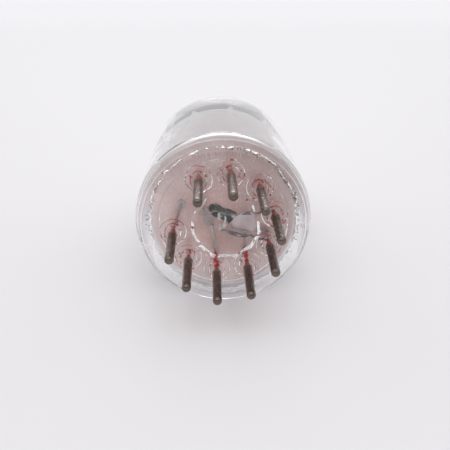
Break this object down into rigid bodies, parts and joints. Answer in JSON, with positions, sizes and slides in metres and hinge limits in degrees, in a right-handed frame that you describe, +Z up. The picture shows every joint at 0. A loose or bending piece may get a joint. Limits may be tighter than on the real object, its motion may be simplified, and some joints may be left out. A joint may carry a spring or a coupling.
{
  "type": "vacuum tube",
  "caption": "Miniature glass vacuum tube lying on its side: pins through a pressed glass stem, short domed bulb with a sealed tip, electrodes between mica discs.",
  "frame": {"origin": "centre of the pin circle on the flat face of the glass stem, on the tube's axis", "axes": "the tube lies on its side: -Y is the front and runs out along the pins, +Y runs along the bulb to its sealed tip, +Z is up, +X is the viewer's right"},
  "size_m": [0.0206, 0.0426, 0.0206],
  "materials": {
    "glass": "clear, fire polished",
    "pin_metal": "dull drawn nickel alloy, slightly tarnished",
    "copper_clad": "copper-clad seal wire, oxidised red",
    "nickel": "satin nickel",
    "mica": "ruby mica, smooth with a soft sheen",
    "shield": "satin nickel-plated sheet",
    "alumina": "matt white insulating coat",
    "oxide": "matt white oxide coat",
    "grid_rod": "drawn copper alloy",
    "gold_wire": "gold-plated fine wire",
    "anode": "dark grey carbonised sheet",
    "getter": "silvery grey barium film"
  },
  "bodies": {
    "root": {"bulb": "glass", "stem": "glass", "pin_1": "pin_metal", "pin_2": "pin_metal", "pin_3": "pin_metal", "pin_4": "pin_metal", "pin_5": "pin_metal", "pin_6": "pin_metal", "pin_7": "pin_metal", "pin_8": "pin_metal", "pin_9": "pin_metal", "seal_wire_1": "copper_clad", "seal_wire_2": "copper_clad", "seal_wire_3": "copper_clad", "seal_wire_4": "copper_clad", "seal_wire_5": "copper_clad", "seal_wire_6": "copper_clad", "seal_wire_7": "copper_clad", "seal_wire_8": "copper_clad", "seal_wire_9": "copper_clad", "lead_1": "nickel", "lead_2": "nickel", "lead_3": "nickel", "lead_4": "nickel", "lead_5": "nickel", "lead_6": "nickel", "lead_7": "nickel", "lead_8": "nickel", "lead_9": "nickel", "lower_mica": "mica", "upper_mica": "mica", "shield_disc": "shield", "heater": "alumina", "heater_clip_upper": "nickel", "heater_clip_lower": "nickel", "cathode_sleeve": "nickel", "cathode_coating": "oxide", "cathode_tab": "nickel", "grid_rod_left": "grid_rod", "grid_rod_right": "grid_rod", "grid_tab": "nickel", "grid_straps": "nickel", "grid_winding": "gold_wire", "anode_front": "anode", "anode_rear": "anode", "anode_rod_left": "nickel", "anode_rod_right": "nickel", "getter_ring": "nickel", "getter_post": "nickel", "getter_film": "getter"}
  },
  "joints": []
}
